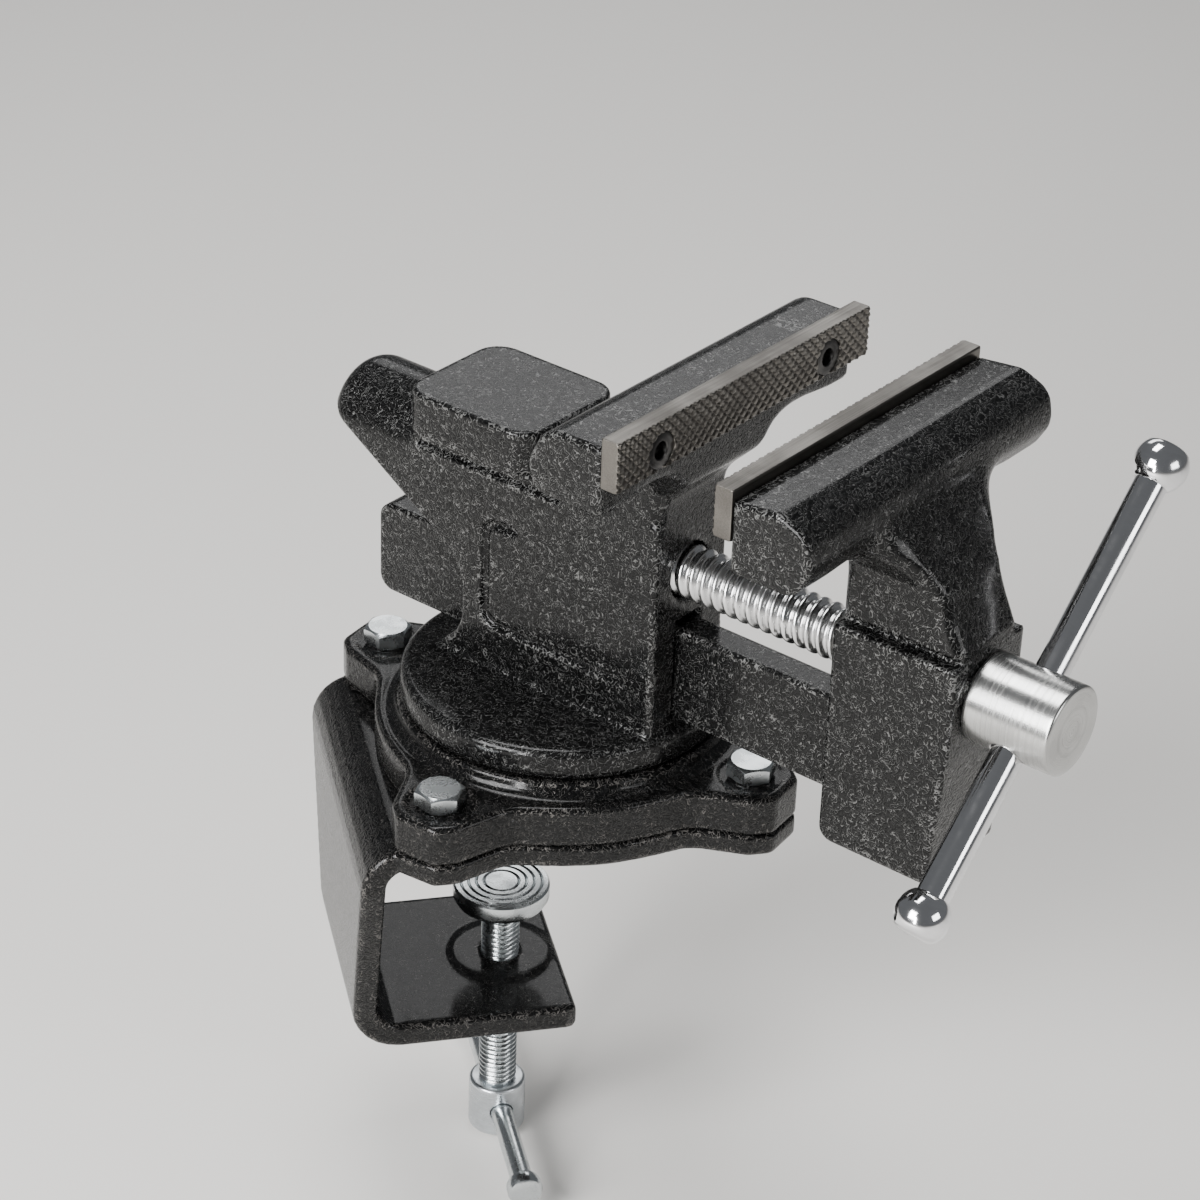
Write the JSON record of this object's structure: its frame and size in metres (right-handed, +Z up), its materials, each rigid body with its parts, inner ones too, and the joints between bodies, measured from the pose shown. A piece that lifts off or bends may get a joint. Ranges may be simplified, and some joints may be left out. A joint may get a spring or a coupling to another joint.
{
  "type": "bench vise",
  "caption": "Cast swivel bench vise on a C-clamp foot, with an anvil pad, sliding jaw, lead screw and sliding bar handle.",
  "frame": {"origin": "on the swivel axis at the underside of the foot plate, where it rests on the bench", "axes": "+Z up along the swivel axis, +X along the jaws, -Y toward the handle; the clamp foot is turned 38.7 degrees about Z from the head, as stored"},
  "size_m": [0.1632, 0.2543, 0.2875],
  "materials": {
    "hammertone_black": "gloss hammertone enamel over cast iron",
    "zinc_fastener": "bright zinc plate",
    "bright_screw": "bright nickel-chrome plate, satin on turned faces",
    "jaw_steel": "hardened steel, satin, oiled",
    "dark_screw": "black oxide",
    "nut_iron": "machined"
  },
  "bodies": {
    "foot": {"clamp_bracket": "hammertone_black", "swivel_base": "hammertone_black", "base_bolts": "zinc_fastener"},
    "head": {"vise_body": "hammertone_black", "pivot_bolt": "zinc_fastener", "pivot_washer": "zinc_fastener", "lead_nut": "nut_iron", "nut_set_screw": "dark_screw", "fixed_jaw_plate": "jaw_steel", "fixed_jaw_screws": "dark_screw"},
    "slider": {"sliding_jaw": "hammertone_black", "moving_jaw_plate": "jaw_steel", "moving_jaw_screws": "dark_screw"},
    "spindle": {"lead_screw": "bright_screw", "retaining_ring": "zinc_fastener", "retaining_pin": "dark_screw"},
    "handle": {"handle_bar": "bright_screw", "handle_knob_upper": "bright_screw", "handle_knob_lower": "bright_screw"},
    "lock": {"lock_screw": "zinc_fastener", "lock_lever": "zinc_fastener"},
    "pad": {"clamp_pad": "zinc_fastener"},
    "clamp_spindle": {"clamp_screw": "zinc_fastener"},
    "clamp_tee": {"clamp_tee_bar": "zinc_fastener", "clamp_tee_knobs": "zinc_fastener"}
  },
  "joints": [
    {"name": "swivel", "type": "hinge", "parent": "foot", "child": "head", "pos_m": [0, 0, 0.03], "axis": [0, 0, 1], "range_deg": [-135, 135]},
    {"name": "jaw_slide", "type": "slide", "parent": "head", "child": "slider", "axis": [0, -1, 0], "range_m": [-0.0307, 0.069]},
    {"name": "screw_turn", "type": "hinge", "parent": "slider", "child": "spindle", "pos_m": [0, -0.15, 0.0838], "axis": [0, -1, 0], "range_deg": [-2760, 6200]},
    {"name": "handle_slide", "type": "slide", "parent": "spindle", "child": "handle", "axis": [0.7266, 0, 0.6871], "range_m": [-0.055, 0.0395]},
    {"name": "lock_turn", "type": "hinge", "parent": "foot", "child": "lock", "pos_m": [0.03751, 0.04683, 0.0174], "axis": [0.6252, 0.7804, 0], "range_deg": [-15, 8]},
    {"name": "clamp_slide", "type": "slide", "parent": "foot", "child": "pad", "axis": [0, 0, 1], "range_m": [-0.0175, 0.0295]},
    {"name": "clamp_turn", "type": "hinge", "parent": "pad", "child": "clamp_spindle", "pos_m": [-0.01405, 0.01125, -0.06], "axis": [0, 0, 1], "range_deg": [-3590, 6060]},
    {"name": "clamp_tee_slide", "type": "slide", "parent": "clamp_spindle", "child": "clamp_tee", "axis": [0.6252, 0.7804, 0], "range_m": [-0.033, 0.033]}
  ],
  "couplings": [
    {"joint": "jaw_slide", "follows": "screw_turn", "m_per_rad": 0.00063662},
    {"joint": "clamp_slide", "follows": "clamp_turn", "m_per_rad": 0.00027852}
  ]
}
